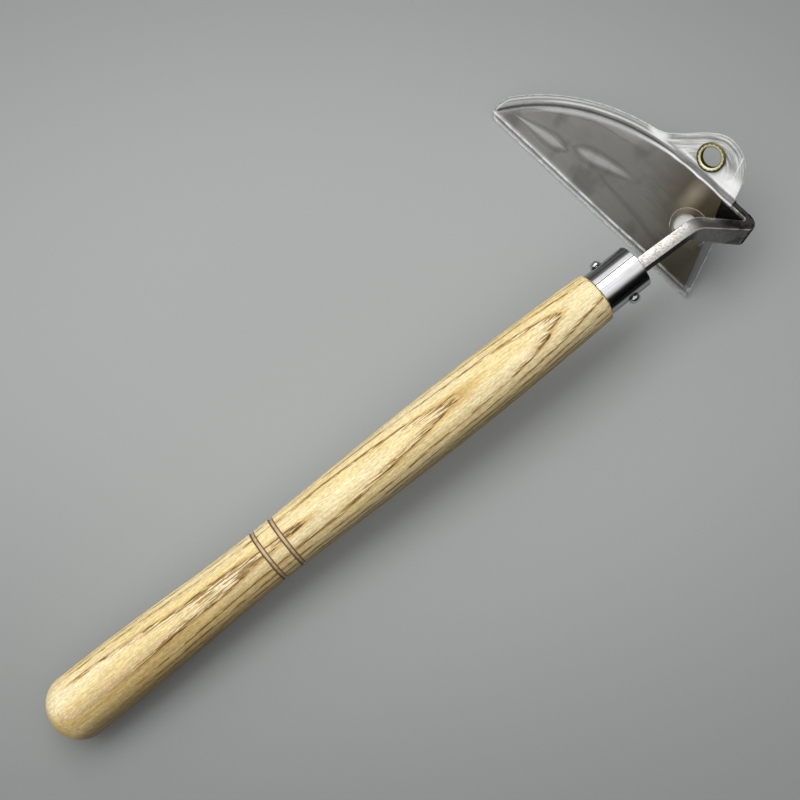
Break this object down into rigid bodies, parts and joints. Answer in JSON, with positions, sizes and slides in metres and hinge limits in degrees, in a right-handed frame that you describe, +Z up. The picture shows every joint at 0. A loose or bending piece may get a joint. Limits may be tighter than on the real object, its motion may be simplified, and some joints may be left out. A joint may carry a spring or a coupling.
{
  "type": "elbow hoe",
  "caption": "Short elbow hoe with a turned wooden grip, a ferrule, a folded steel neck and a pointed blade in a clear slip-on cover with a hanging eyelet.",
  "frame": {"origin": "on the ground, under the middle of the hoe's bounding box as it lies on its butt and on the cover along the cutting edge", "axes": "+X from the butt along the grip to the elbow, +Y from the neck towards the blade's point, +Z up from the ground"},
  "size_m": [0.4158, 0.1418, 0.06],
  "materials": {
    "pale_hardwood": "bare turned wood, sanded, with fine brown grain",
    "bright_steel": "polished, with a fine lengthwise seam",
    "satin_steel": "satin stainless bar with a light speckle",
    "blade_steel": "brushed stainless plate, polished along the ground edge",
    "clear_film": "clear soft film with a welded rim",
    "pale_brass": "pale polished brass"
  },
  "bodies": {
    "hoe": {"handle": "pale_hardwood", "ferrule": "bright_steel", "ferrule_nail_left": "bright_steel", "ferrule_nail_right": "bright_steel", "neck": "satin_steel", "weld_fillet": "satin_steel", "blade": "blade_steel"},
    "cover": {"cover_front_film": "clear_film", "cover_back_film": "clear_film", "eyelet": "pale_brass", "eyelet_washer": "pale_brass"}
  },
  "joints": [
    {"name": "cover_pull_off", "type": "slide", "parent": "hoe", "child": "cover", "axis": [-0.1021, 0.9948, 0], "range_m": [0, 0.16]}
  ]
}
